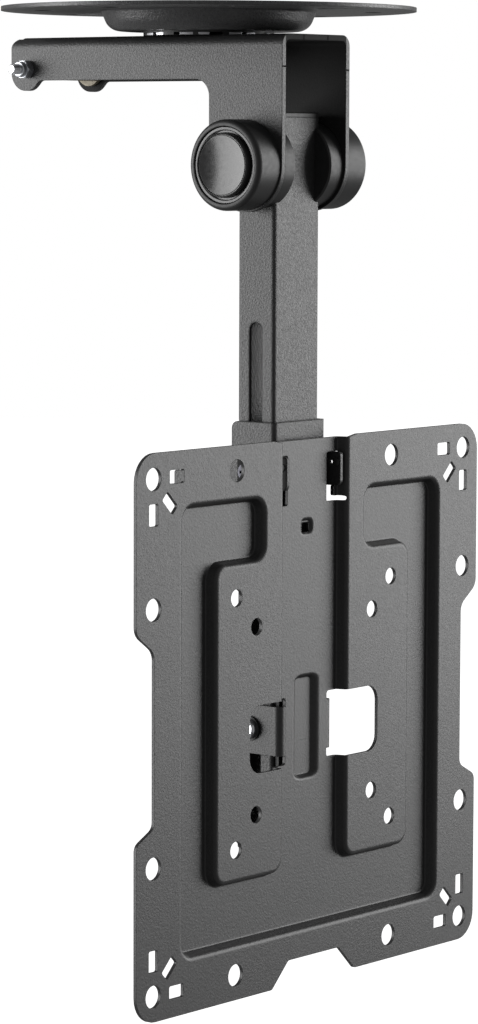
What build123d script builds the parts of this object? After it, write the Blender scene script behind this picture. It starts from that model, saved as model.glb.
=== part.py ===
from build123d import *
from math import cos, hypot, radians, sin, sqrt
import os

os.makedirs("parts", exist_ok=True)

# A ceiling mount for a small flat screen. An arm swivels under a round ceiling plate. A post hangs
# from the arm's front end on a hinge and folds up behind, where a latch on the arm holds it.
# A pressed screen plate slides up and down the post.
# Millimetres. The origin is the middle of the ceiling plate's top face, on the swivel axis.
# +Z is up and the screen faces -Y.

# Ceiling plate: a disc with a dish pressed down, which holds the swivel bolt's head
CEILING_R = 84.0
CEILING_T = 1.6
DISH_TOP_R = 43.6
DISH_FLOOR_R = 40.3
DISH_DEPTH = 9.6
DISH_FLOOR_BEND = 6.5
DISH_RIM_BEND = 1.0
CEILING_SLOT = (22.0, 6.5)
CEILING_SLOT_R = 66.0
CEILING_SCREW_SQUARE = 94.0
CEILING_SCREW_D = 8.0

# Swivel
SWIVEL_BOLT_R = 5.0
SWIVEL_HEAD = (16.0, 6.0)
SWIVEL_WASHER_R = 26.5
SWIVEL_WASHER_T = 1.9
SWIVEL_GROOVES = 12
SWIVEL_GROOVE = (6.5, 1.1)
SWIVEL_GROOVE_FROM_R = 13.0
LOWER_WASHER_R = 15.0
LOWER_WASHER_T = 1.5
STEEL_WASHER_R = 12.0
STEEL_WASHER_T = 2.0
SWIVEL_NUT = (16.0, 9.5)
SWIVEL_BOLT_END_Z = -29.0

# Arm: one folded sheet, an upside-down channel with a leg at the front and a lobe at the rear
ARM_HALF_X = 21.55
ARM_T = 2.3
ARM_BEND = 4.5
ARM_TOP_Z = -(DISH_DEPTH + SWIVEL_WASHER_T)
ARM_BOTTOM_Z = -29.1
LEG_R = 18.65
LEG_CORNER_R = 7.0
LOBE_DROP = 8.8
LOBE_FRONT = 2.6
LOBE_SLOPE = 4.2
LOBE_BENDS = (7.7, 6.5, 2.5)
ARM_REAR_CORNER_R = 4.5

# Fold hinge, along X
HINGE_Y = -36.7
HINGE_Z = -63.1
HINGE_BOLT_R = 4.0
CAP_R = 18.0
CAP_OUT_X = 34.8
CAP_EDGE_R = 2.0
CAP_SEAT_X = 24.5
CAP_WELL_R = 8.5
CAP_RECESS_R = 15.2
CAP_RECESS_X = 32.8
BUTTON_R = 12.5
BUTTON_EDGE_X = 36.3
BUTTON_OUT_X = 37.7
BUTTON_SPIGOT_X = 31.8
BUTTON_BEVEL = 0.8
CHEEK_R = 17.5
CHEEK_GAP = 0.05
CHEEK_IN_X = 11.0
HINGE_HEAD = (13.0, 5.3)
HINGE_NUT = (13.0, 6.3)
HINGE_BOLT_END_X = 31.4
HINGE_BUSH_R = 7.0

# Post: a rectangular tube with a slot down each narrow side
POST_HALF_X = 14.4
POST_HALF_Y = 9.35
POST_WALL = 1.5
POST_CORNER_R = 1.44
POST_TOP_Z = -44.1
POST_BOTTOM_Z = -337.5
PLUG_LIP_T = 1.9
PLUG_SPIGOT = 10.0
END_CAP_T = 1.5
END_CAP_SPIGOT = 4.0
SLOT_HALF_Y = 3.35
SLOT_TOP_Z = -125.5
SLOT_BOTTOM_Z = -331.5

# Screen plate: a pressed sheet, measured from its own middle and back from its front face
PLATE_Y = -56.4
PLATE_Z = -281.5
PLATE_T = 1.5
PLATE_HALF = 110.0
PLATE_CORNER_R = 11.0
TOP_DIP = 0.9
TOP_DIP_X = 22.0
TOP_DIP_RAMP = 5.0
NOTCH_HALF_X = 99.4
NOTCH_TOP = (41.0, 33.5)
NOTCH_BOTTOM = (-40.0, -34.5)
NOTCH_R = 6.0
FOOT_NOTCH = ((27.0, -110.0), (16.5, -99.7))
RECESS_DEPTH = 4.8
RECESS_RUN = 3.2
RECESS_X = 84.4
RECESS_Z = 90.0
RECESS_CORNER_R = 8.0
PAD_X = (22.4, 60.7)
PAD_Z = (-61.0, 61.6)
PAD_CORNER_R = 4.0
NECK_X = 30.5
LARGE_HOLE_D = 9.0
SMALL_HOLE_D = 7.0
OUTER_SQUARE = 200.0
MIDDLE_SQUARE = 100.0
INNER_SQUARE = 75.0

# Cut-outs and tabs of the screen plate
RIM_CUT = ((86.2, 100.2), (8.6, 5.3))
RIM_SLOT = ((100.0, 86.2), (5.3, 8.6))
DIAGONAL_CUT = ((90.4, 90.2), (8.5, 4.6))
CUT_CORNER_R = 0.8
WINDOW_X = (13.3, 41.6)
WINDOW_Z = (-21.2, 6.0)
WINDOW_CORNER_R = 6.5
WINDOW_INNER_R = 1.4
TAB_Z = (-17.5, 2.4)
TAB_BEND_X = 14.4
TAB_BEND_R = 2.5
TAB_END = 25.8
TAB_CORNER_R = 4.0
LUG_OPENING_X = (12.5, 19.3, 22.0)
LUG_OPENING_Z = (83.3, 85.5, 103.7)
LUG_OPENING_R = 0.9
POCKET_Z = -7.0
POCKET_TOP = (15.8, 42.4, 4.0)
POCKET_FLOOR = (9.0, 36.2, 2.4)
DIMPLE_Z = 73.7
DIMPLE_TOP = (10.4, 9.6, 3.0)
DIMPLE_FLOOR = (7.2, 6.6, 1.4)
PRESS_DEPTH = 2.0
PRESS_BACK_GROW = 0.8
DIMPLE_HOLE = (5.4, 5.0)

# Carriage pieces behind the screen plate
COLLAR_HALF_X = 16.5
COLLAR_T = 1.5
COLLAR_REAR_Y = -26.1
COLLAR_TOP = 116.2
COLLAR_BOTTOM = 60.0
COLLAR_CORNER_R = 3.0
LUG_T = 1.6
LUG_Y = (0.6, 26.0)
LUG_Z = (89.5, 103.2)
LUG_BENDS = (1.6, 2.4)
LUG_HOLES = ((2.9, 98.9, 1.7), (5.5, 99.0, 0.9))
SLIDE_GAP = 0.05
BOSS_R = 3.25
SIDE_GLIDE = (13.0, 17.0)
UPPER_BOLT = 96.3
LOCK_BOLT = -7.3
GUIDE_BOLT_R = 2.5
GUIDE_WASHER_R = 4.9
GUIDE_WASHER_T = 1.0
GUIDE_HEAD_R = 4.1
GUIDE_HEAD_T = 2.4
GUIDE_NUT = (8.0, 5.0)
CROSS_RECESS = (4.6, 1.1, 1.4)

# Latch at the arm's rear, along X
LATCH_Y = 79.8
LATCH_Z = -24.5
LATCH_BOLT_R = 2.0
LATCH_NUT = (7.0, 5.6)
LATCH_HEAD = (7.0, 2.8)
LATCH_BOLT_END_X = -31.2
LATCH_SPACER_R = 4.0
LATCH_CHEEK_X = (16.6, 18.6)
LATCH_BOSS_R = 6.4
LATCH_WEB_R = (4.4, 6.0)
LATCH_WEB_WIDTH = 4.8
LATCH_WEB_ANGLE = 200.0
CATCH_PIN_R = 2.0
CATCH_REACH = 10.3
CATCH_GAP = 0.2
CLAW_T = 2.0
CLAW_REST = 165.0
CLAW_ARM = (138.0, 152.0)
CLAW_TIP = 184.0
LATCH_TURN = 119.0

# Catch on the post's rear face
CATCH_HALF_X = 13.5
CATCH_T = 2.0
CATCH_PIN_HALF_X = 18.5
CATCH_BOSS_R = 3.4
CATCH_LOW = 86.0
CATCH_TAIL = (62.9, 87.2, 94.3)
CATCH_TAIL_LENGTH = 9.0

RUN_FIT = 0.05


def plate_plane(depth):
    """Plane this far behind the screen plate's front face, facing back, with Z up its height."""
    return Plane((0, PLATE_Y + depth, PLATE_Z), x_dir=(-1, 0, 0), z_dir=(0, 1, 0))


def along_x(x, y, z, outward=1):
    """Plane across the width at x, facing +X or -X, with its origin at y and z."""
    return Plane((x, y, z), x_dir=(0, outward, 0), z_dir=(outward, 0, 0))


def span(low, high):
    """Middle and length of a stretch."""
    return (low + high) / 2, high - low


def hex_block(plane, flats, height, bore_r=0.0, collar=0.0):
    """Nut or bolt head: a hexagon with bevelled corners, with a bore and a round collar if it has them."""
    with BuildPart() as block:
        with BuildSketch(plane):
            Circle(flats * 0.565)
        extrude(amount=height - collar)
        chamfer(block.edges().filter_by(GeomType.CIRCLE), length=flats * 0.05)
        with BuildSketch(plane):
            RegularPolygon(flats / 2, 6, major_radius=False)
        extrude(amount=height - collar, mode=Mode.INTERSECT)
        if collar:
            with BuildSketch(plane.offset(height - collar)):
                Circle(flats * 0.46)
            extrude(amount=collar)
            fillet(block.faces().sort_by(Axis((0, 0, 0), plane.z_dir))[-1].edges(), 0.6)
        if bore_r:
            with BuildSketch(plane):
                Circle(bore_r)
            extrude(amount=height, mode=Mode.SUBTRACT)
    return block.part


def rod(start, end, radius):
    """Round bar between two points on one line."""
    way = Vector(*end) - Vector(*start)
    with BuildPart() as bar:
        with BuildSketch(Plane(start, z_dir=way)):
            Circle(radius)
        extrude(amount=way.length)
    return bar.part


def ring(plane, outer_r, bore_r, height):
    """Flat washer or bush that stands on a plane."""
    with BuildPart() as washer:
        with BuildSketch(plane):
            Circle(outer_r)
            Circle(bore_r, mode=Mode.SUBTRACT)
        extrude(amount=height)
    return washer.part


def rounded_face(corners):
    """Flat face inside a closed outline, whose corners are given as (x, y, rounding)."""
    with BuildSketch() as face:
        with BuildLine():
            FilletPolyline([(x, y) for x, y, _ in corners], radius=[r for _, _, r in corners], close=True)
        make_face()
    return face.sketch


def both_halves(right):
    """Closed outline from the corners of its right half, listed from top to bottom."""
    return right + [(-x, y, r) for x, y, r in reversed(right)]


def plate_face():
    """Outline of the screen plate's sheet."""
    notch_slope_top, notch_top = NOTCH_TOP
    notch_slope_low, notch_low = NOTCH_BOTTOM
    (foot_x, foot_z), (foot_in_x, foot_in_z) = FOOT_NOTCH
    dip_z = PLATE_HALF - TOP_DIP
    return rounded_face(both_halves([
        (TOP_DIP_X, dip_z, 0.0),
        (TOP_DIP_X + TOP_DIP_RAMP, PLATE_HALF, 0.0),
        (PLATE_HALF, PLATE_HALF, PLATE_CORNER_R),
        (PLATE_HALF, notch_slope_top, NOTCH_R),
        (NOTCH_HALF_X, notch_top, NOTCH_R),
        (NOTCH_HALF_X, notch_low, 4.0),
        (PLATE_HALF, notch_slope_low, 4.0),
        (PLATE_HALF, -PLATE_HALF, PLATE_CORNER_R),
        (foot_x, foot_z, 2.0),
        (foot_in_x, foot_in_z, 2.0),
    ]))


def recess_face(grow):
    """Outline of the pressed area: a ring and a middle channel round two pads, made larger by grow."""
    pad_in, pad_out = PAD_X
    pad_low, pad_high = PAD_Z
    inside = RECESS_CORNER_R + grow
    outside = PAD_CORNER_R - grow
    return rounded_face(both_halves([
        (pad_in + grow, PLATE_HALF + 5.0, 0.0),
        (pad_in + grow, pad_low + grow, outside),
        (pad_out - grow, pad_low + grow, outside),
        (pad_out - grow, pad_high - grow, outside),
        (NECK_X - grow, pad_high - grow, inside),
        (NECK_X - grow, RECESS_Z + grow, inside),
        (RECESS_X + grow, RECESS_Z + grow, inside),
        (RECESS_X + grow, -RECESS_Z - grow, inside),
    ]))


# Ceiling plate
wall_lean = (DISH_TOP_R - DISH_FLOOR_R) / (DISH_DEPTH - CEILING_T)
wall_shift = CEILING_T * (hypot(1, wall_lean) - wall_lean)
with BuildPart() as ceiling_plate:
    with BuildSketch(Plane.XZ):
        with BuildLine():
            under = FilletPolyline(
                (0, -DISH_DEPTH),
                (DISH_FLOOR_R, -DISH_DEPTH),
                (DISH_TOP_R, -CEILING_T),
                (CEILING_R, -CEILING_T),
                radius=[DISH_FLOOR_BEND, DISH_RIM_BEND],
            )
            upper = FilletPolyline(
                (0, CEILING_T - DISH_DEPTH),
                (DISH_FLOOR_R - wall_shift, CEILING_T - DISH_DEPTH),
                (DISH_TOP_R - wall_shift, 0),
                (CEILING_R, 0),
                radius=[DISH_FLOOR_BEND - CEILING_T, DISH_RIM_BEND + CEILING_T],
            )
            Line(under @ 0, upper @ 0)
            Line(under @ 1, upper @ 1)
        make_face()
    revolve(axis=Axis.Z)
    with BuildSketch(Plane.XY):
        Circle(SWIVEL_BOLT_R + RUN_FIT)
        with PolarLocations(CEILING_SLOT_R, 4):
            SlotOverall(*CEILING_SLOT)
        with GridLocations(CEILING_SCREW_SQUARE, CEILING_SCREW_SQUARE, 2, 2):
            Circle(CEILING_SCREW_D / 2)
    extrude(amount=-DISH_DEPTH, mode=Mode.SUBTRACT)
ceiling_plate.part.label = "ceiling_plate"
export_step(ceiling_plate.part, "parts/ceiling_plate.step")

# Swivel bolt, with its head in the dish
head_flats, head_height = SWIVEL_HEAD
dish_floor_z = CEILING_T - DISH_DEPTH
with BuildPart() as swivel_bolt:
    add(rod((0, 0, SWIVEL_BOLT_END_Z), (0, 0, dish_floor_z), SWIVEL_BOLT_R))
    chamfer(swivel_bolt.faces().sort_by(Axis.Z)[0].edges(), length=0.8)
    add(hex_block(Plane.XY.offset(dish_floor_z), head_flats, head_height))
swivel_bolt.part.label = "swivel_bolt"
export_step(swivel_bolt.part, "parts/swivel_bolt.step")

# Plastic washer between the dish and the arm, with radial grease grooves in its lower face
groove_width, groove_depth = SWIVEL_GROOVE
groove_mid_r, groove_length = span(SWIVEL_GROOVE_FROM_R, SWIVEL_WASHER_R + 1)
with BuildPart() as swivel_washer:
    add(ring(Plane.XY.offset(ARM_TOP_Z), SWIVEL_WASHER_R, SWIVEL_BOLT_R + RUN_FIT, SWIVEL_WASHER_T))
    with BuildSketch(Plane.XY.offset(ARM_TOP_Z)):
        with PolarLocations(groove_mid_r, SWIVEL_GROOVES, start_angle=180 / SWIVEL_GROOVES):
            Rectangle(groove_length, groove_width)
    extrude(amount=groove_depth, mode=Mode.SUBTRACT)
swivel_washer.part.label = "swivel_washer"
export_step(swivel_washer.part, "parts/swivel_washer.step")

# Plastic washer, steel washer and self-locking nut under the arm's web
web_under_z = ARM_TOP_Z - ARM_T
lower_washer_z = web_under_z - LOWER_WASHER_T
steel_washer_z = lower_washer_z - STEEL_WASHER_T
with BuildPart() as lower_washer:
    add(ring(Plane.XY.offset(lower_washer_z), LOWER_WASHER_R, SWIVEL_BOLT_R + RUN_FIT, LOWER_WASHER_T))
    lower_rims = lower_washer.edges().filter_by(GeomType.CIRCLE).group_by(Axis.Z)[0]
    chamfer(lower_rims.sort_by(SortBy.RADIUS)[-1], 0.4)
lower_washer.part.label = "lower_washer"
export_step(lower_washer.part, "parts/lower_washer.step")

with BuildPart() as steel_washer:
    add(ring(Plane.XY.offset(steel_washer_z), STEEL_WASHER_R, SWIVEL_BOLT_R + RUN_FIT, STEEL_WASHER_T))
steel_washer.part.label = "steel_washer"
export_step(steel_washer.part, "parts/steel_washer.step")

nut_flats, nut_height = SWIVEL_NUT
with BuildPart() as swivel_nut:
    under_washer = Plane((0, 0, steel_washer_z), z_dir=(0, 0, -1))
    add(hex_block(under_washer, nut_flats, nut_height, SWIVEL_BOLT_R + RUN_FIT, collar=2.8))
swivel_nut.part.label = "swivel_nut"
export_step(swivel_nut.part, "parts/swivel_nut.step")

# Arm: the channel's section run along Y, cut to the outline of the side view
arm_front_y = HINGE_Y - LEG_R
leg_rear_y = HINGE_Y + LEG_R
arm_rear_y = LATCH_Y + LOBE_DROP
web_end_y = arm_rear_y - ARM_REAR_CORNER_R
arm_inner_x = ARM_HALF_X - ARM_T
arm_length = arm_rear_y - arm_front_y
leg_height = ARM_TOP_Z - HINGE_Z
lobe_low_z = LATCH_Z - LOBE_DROP
lobe_front_y = LATCH_Y - LOBE_FRONT
lobe_rear_r, lobe_front_r, lobe_neck_r = LOBE_BENDS
with BuildPart() as arm_bracket:
    with BuildSketch(Plane((0, arm_front_y, ARM_TOP_Z), x_dir=(-1, 0, 0), z_dir=(0, 1, 0))):
        section_depth = leg_height + LEG_R
        add(rounded_face([
            (ARM_HALF_X, 0, ARM_BEND),
            (ARM_HALF_X, -section_depth, 0),
            (arm_inner_x, -section_depth, 0),
            (arm_inner_x, -ARM_T, ARM_BEND - ARM_T),
            (-arm_inner_x, -ARM_T, ARM_BEND - ARM_T),
            (-arm_inner_x, -section_depth, 0),
            (-ARM_HALF_X, -section_depth, 0),
            (-ARM_HALF_X, 0, ARM_BEND),
        ]))
    extrude(amount=arm_length)
    with BuildSketch(Plane.YZ):
        add(rounded_face([
            (arm_front_y, ARM_TOP_Z, 0),
            (arm_rear_y, ARM_TOP_Z, ARM_REAR_CORNER_R),
            (arm_rear_y, lobe_low_z, lobe_rear_r),
            (lobe_front_y, lobe_low_z, lobe_front_r),
            (lobe_front_y - LOBE_SLOPE, ARM_BOTTOM_Z, lobe_neck_r),
            (leg_rear_y, ARM_BOTTOM_Z, LEG_CORNER_R),
            (leg_rear_y, HINGE_Z, 0),
            (arm_front_y, HINGE_Z, 0),
        ]))
        with Locations((HINGE_Y, HINGE_Z)):
            Circle(LEG_R)
    extrude(amount=ARM_HALF_X, both=True, mode=Mode.INTERSECT)
    with BuildSketch(Plane.XY.offset(web_under_z)):
        with Locations((0, web_end_y + ARM_REAR_CORNER_R)):
            Rectangle(2 * arm_inner_x, 2 * ARM_REAR_CORNER_R)
        Circle(SWIVEL_BOLT_R + RUN_FIT)
    extrude(amount=ARM_T, mode=Mode.SUBTRACT)
    with BuildSketch(Plane.YZ):
        with Locations((HINGE_Y, HINGE_Z)):
            Circle(HINGE_BOLT_R + RUN_FIT)
        with Locations((LATCH_Y, LATCH_Z)):
            Circle(LATCH_BOLT_R + RUN_FIT)
    extrude(amount=ARM_HALF_X, both=True, mode=Mode.SUBTRACT)
arm_bracket.part.label = "arm_bracket"
export_step(arm_bracket.part, "parts/arm_bracket.step")

# Hinge bolt and nut, sunk in the wells of the two outer caps
head_flats, head_height = HINGE_HEAD
with BuildPart() as hinge_bolt:
    add(rod((-HINGE_BOLT_END_X, HINGE_Y, HINGE_Z), (CAP_SEAT_X, HINGE_Y, HINGE_Z), HINGE_BOLT_R))
    chamfer(hinge_bolt.faces().sort_by(Axis.X)[0].edges(), length=0.6)
    add(hex_block(along_x(CAP_SEAT_X, HINGE_Y, HINGE_Z), head_flats, head_height))
hinge_bolt.part.label = "hinge_bolt"
export_step(hinge_bolt.part, "parts/hinge_bolt.step")

nut_flats, nut_height = HINGE_NUT
with BuildPart() as hinge_nut:
    add(hex_block(along_x(-CAP_SEAT_X, HINGE_Y, HINGE_Z, -1), nut_flats, nut_height, HINGE_BOLT_R + RUN_FIT))
hinge_nut.part.label = "hinge_nut"
export_step(hinge_nut.part, "parts/hinge_nut.step")

# Outer cap, its button and the inner cheek on each side of the hinge, all turned about the axis
for side, outward in (("left", -1), ("right", 1)):
    arm_side = along_x(outward * ARM_HALF_X, HINGE_Y, HINGE_Z, outward)
    turned = Plane((0, HINGE_Y, HINGE_Z), x_dir=(outward, 0, 0), z_dir=(0, -outward, 0))
    hinge_axis = Axis((0, HINGE_Y, HINGE_Z), (1, 0, 0))

    with BuildPart() as hinge_cap:
        with BuildSketch(turned):
            with BuildLine():
                FilletPolyline(
                    (ARM_HALF_X, HINGE_BOLT_R + RUN_FIT),
                    (ARM_HALF_X, CAP_R),
                    (CAP_OUT_X, CAP_R),
                    (CAP_OUT_X, CAP_RECESS_R),
                    (CAP_RECESS_X, CAP_RECESS_R),
                    (CAP_RECESS_X, CAP_WELL_R),
                    (CAP_SEAT_X, CAP_WELL_R),
                    (CAP_SEAT_X, HINGE_BOLT_R + RUN_FIT),
                    radius=[0, 0, CAP_EDGE_R, 0.4, 0.4, 0, 0, 0],
                    close=True,
                )
            make_face()
        revolve(axis=hinge_axis)
    hinge_cap.part.label = f"hinge_cap_{side}"
    export_step(hinge_cap.part, f"parts/hinge_cap_{side}.step")

    dome_r = BUTTON_R - BUTTON_BEVEL
    dome_rise = BUTTON_OUT_X - BUTTON_EDGE_X - BUTTON_BEVEL
    ball_r = (dome_r**2 + dome_rise**2) / (2 * dome_rise)
    dome_mid = (BUTTON_OUT_X - ball_r + sqrt(ball_r**2 - dome_r**2 / 4), dome_r / 2)
    with BuildPart() as cap_button:
        with BuildSketch(turned):
            with BuildLine():
                Polyline(
                    (BUTTON_OUT_X, 0),
                    (BUTTON_SPIGOT_X, 0),
                    (BUTTON_SPIGOT_X, CAP_WELL_R - RUN_FIT),
                    (CAP_RECESS_X, CAP_WELL_R - RUN_FIT),
                    (CAP_RECESS_X, BUTTON_R),
                    (BUTTON_EDGE_X, BUTTON_R),
                    (BUTTON_EDGE_X + BUTTON_BEVEL, dome_r),
                )
                ThreePointArc((BUTTON_EDGE_X + BUTTON_BEVEL, dome_r), dome_mid, (BUTTON_OUT_X, 0))
            make_face()
        revolve(axis=hinge_axis)
    cap_button.part.label = f"cap_button_{side}"
    export_step(cap_button.part, f"parts/cap_button_{side}.step")

    with BuildPart() as hinge_cheek:
        with BuildSketch(along_x(outward * CHEEK_IN_X, HINGE_Y, HINGE_Z, outward)):
            Circle(CHEEK_R)
        extrude(amount=arm_inner_x - CHEEK_GAP - CHEEK_IN_X)
        cheek_rims = hinge_cheek.edges().filter_by(GeomType.CIRCLE).sort_by(Axis.X)
        chamfer(cheek_rims[0 if side == "right" else -1], 0.6)
        with BuildSketch(Plane.XY.offset(HINGE_Z - CHEEK_R)):
            with Locations((0, HINGE_Y)):
                RectangleRounded(2 * POST_HALF_X, 2 * POST_HALF_Y, POST_CORNER_R)
        extrude(amount=2 * CHEEK_R, mode=Mode.SUBTRACT)
        with BuildSketch(arm_side):
            Circle(HINGE_BOLT_R + RUN_FIT)
        extrude(amount=-ARM_HALF_X, mode=Mode.SUBTRACT)
    hinge_cheek.part.label = f"hinge_cheek_{side}"
    export_step(hinge_cheek.part, f"parts/hinge_cheek_{side}.step")

# Post tube, with a long slot in each narrow side
slot_mid_z, slot_length = span(SLOT_BOTTOM_Z, SLOT_TOP_Z)
post_inner_x = POST_HALF_X - POST_WALL
post_inner_y = POST_HALF_Y - POST_WALL
with BuildPart() as post_tube:
    with BuildSketch(Plane.XY.offset(POST_BOTTOM_Z)):
        with Locations((0, HINGE_Y)):
            RectangleRounded(2 * POST_HALF_X, 2 * POST_HALF_Y, POST_CORNER_R)
            Rectangle(2 * post_inner_x, 2 * post_inner_y, mode=Mode.SUBTRACT)
    extrude(amount=POST_TOP_Z - POST_BOTTOM_Z)
    with BuildSketch(Plane.YZ):
        with Locations((HINGE_Y, slot_mid_z)):
            SlotOverall(slot_length, 2 * SLOT_HALF_Y, rotation=90)
        with Locations((HINGE_Y, HINGE_Z)):
            Circle(HINGE_BOLT_R + RUN_FIT)
    extrude(amount=POST_HALF_X, both=True, mode=Mode.SUBTRACT)
post_tube.part.label = "post_tube"
export_step(post_tube.part, "parts/post_tube.step")

# Bush between the tube's narrow sides, so that the hinge bolt can't crush it
with BuildPart() as hinge_bush:
    bush_plane = along_x(-post_inner_x, HINGE_Y, HINGE_Z)
    add(ring(bush_plane, HINGE_BUSH_R, HINGE_BOLT_R + RUN_FIT, 2 * post_inner_x))
hinge_bush.part.label = "hinge_bush"
export_step(hinge_bush.part, "parts/hinge_bush.step")

# Plastic plugs in the tube's two ends
def tube_plug(end_z, upward, lip, spigot):
    """Plug with a lip on the tube's end and a hollow spigot inside it."""
    with BuildPart() as plug:
        with BuildSketch(Plane((0, HINGE_Y, end_z), z_dir=(0, 0, upward))):
            RectangleRounded(2 * POST_HALF_X, 2 * POST_HALF_Y, POST_CORNER_R)
        extrude(amount=lip)
        fillet(plug.faces().sort_by(Axis((0, 0, 0), (0, 0, upward)))[-1].edges(), 0.7)
        with BuildSketch(Plane((0, HINGE_Y, end_z), z_dir=(0, 0, -upward))):
            Rectangle(2 * (post_inner_x - RUN_FIT), 2 * (post_inner_y - RUN_FIT))
            Rectangle(2 * (post_inner_x - 2), 2 * (post_inner_y - 2), mode=Mode.SUBTRACT)
        extrude(amount=spigot)
    return plug.part


with BuildPart() as post_top_plug:
    add(tube_plug(POST_TOP_Z, 1, PLUG_LIP_T, PLUG_SPIGOT))
post_top_plug.part.label = "post_top_plug"
export_step(post_top_plug.part, "parts/post_top_plug.step")

with BuildPart() as post_end_cap:
    add(tube_plug(POST_BOTTOM_Z, -1, END_CAP_T, END_CAP_SPIGOT))
post_end_cap.part.label = "post_end_cap"
export_step(post_end_cap.part, "parts/post_end_cap.step")

# Catch bracket on the post's rear face: a folded U whose two cheeks carry the catch pin
post_rear_y = HINGE_Y + POST_HALF_Y
catch_y = HINGE_Y + (LATCH_Z + CATCH_REACH * sin(radians(CLAW_REST + LATCH_TURN)) - HINGE_Z)
catch_z = HINGE_Z - (LATCH_Y + CATCH_REACH * cos(radians(CLAW_REST + LATCH_TURN)) - HINGE_Y)
catch_low_z = PLATE_Z + CATCH_LOW
catch_high_z = catch_z + CATCH_BOSS_R
tail_y, tail_low_z, tail_high_z = PLATE_Y + CATCH_TAIL[0], PLATE_Z + CATCH_TAIL[1], PLATE_Z + CATCH_TAIL[2]
with BuildPart() as catch_bracket:
    with BuildSketch(Plane.YZ):
        add(rounded_face([
            (post_rear_y, catch_high_z, 0),
            (catch_y + CATCH_BOSS_R, catch_high_z, CATCH_BOSS_R - 0.1),
            (catch_y + CATCH_BOSS_R, tail_high_z + 1, 1.5),
            (tail_y, tail_high_z, 1.0),
            (tail_y, tail_low_z, 1.5),
            (tail_y - CATCH_TAIL_LENGTH, catch_low_z, 3.0),
            (post_rear_y, catch_low_z, 0),
        ]))
    extrude(amount=CATCH_HALF_X, both=True)
    inside_length = tail_y - post_rear_y
    with BuildSketch(Plane.XY.offset(catch_low_z)):
        with Locations((0, post_rear_y + CATCH_T + inside_length / 2)):
            RectangleRounded(2 * (CATCH_HALF_X - CATCH_T), inside_length, 1.0)
    extrude(amount=catch_high_z - catch_low_z, mode=Mode.SUBTRACT)
    with BuildSketch(Plane.YZ):
        with Locations((catch_y, catch_z)):
            Circle(CATCH_PIN_R)
    extrude(amount=CATCH_HALF_X, both=True, mode=Mode.SUBTRACT)
catch_bracket.part.label = "catch_bracket"
export_step(catch_bracket.part, "parts/catch_bracket.step")

with BuildPart() as catch_pin:
    add(rod((-CATCH_PIN_HALF_X, catch_y, catch_z), (CATCH_PIN_HALF_X, catch_y, catch_z), CATCH_PIN_R))
    chamfer(catch_pin.edges().filter_by(GeomType.CIRCLE), length=0.4)
catch_pin.part.label = "catch_pin"
export_step(catch_pin.part, "parts/catch_pin.step")

# Latch bolt, nut and spacer through the arm's rear lobes
head_flats, head_height = LATCH_HEAD
with BuildPart() as latch_bolt:
    add(rod((LATCH_BOLT_END_X, LATCH_Y, LATCH_Z), (ARM_HALF_X, LATCH_Y, LATCH_Z), LATCH_BOLT_R))
    chamfer(latch_bolt.faces().sort_by(Axis.X)[0].edges(), length=0.5)
    add(hex_block(along_x(ARM_HALF_X, LATCH_Y, LATCH_Z), head_flats, head_height))
latch_bolt.part.label = "latch_bolt"
export_step(latch_bolt.part, "parts/latch_bolt.step")

nut_flats, nut_height = LATCH_NUT
with BuildPart() as latch_nut:
    arm_left = along_x(-ARM_HALF_X, LATCH_Y, LATCH_Z, -1)
    add(hex_block(arm_left, nut_flats, nut_height, LATCH_BOLT_R + RUN_FIT, collar=2.2))
latch_nut.part.label = "latch_nut"
export_step(latch_nut.part, "parts/latch_nut.step")

latch_cheek_in_x, latch_cheek_out_x = LATCH_CHEEK_X
with BuildPart() as latch_spacer:
    spacer_half_x = latch_cheek_in_x - RUN_FIT
    spacer_plane = along_x(-spacer_half_x, LATCH_Y, LATCH_Z)
    add(ring(spacer_plane, LATCH_SPACER_R, LATCH_BOLT_R + RUN_FIT, 2 * spacer_half_x))
latch_spacer.part.label = "latch_spacer"
export_step(latch_spacer.part, "parts/latch_spacer.step")

# Latch hook: two claws joined by a web, swung up inside the arm at rest
slot_half = CATCH_PIN_R + CATCH_GAP
claw_out_r = CATCH_REACH + slot_half + CLAW_T


def wedge(reach, start, end):
    """Pie piece about the latch bolt, between two angles from +Y towards +Z."""
    with BuildSketch() as piece:
        with BuildLine():
            out = CenterArc((0, 0), reach, start, end - start)
            Line((0, 0), out @ 0)
            Line(out @ 1, (0, 0))
        make_face()
    return piece.sketch


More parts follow.
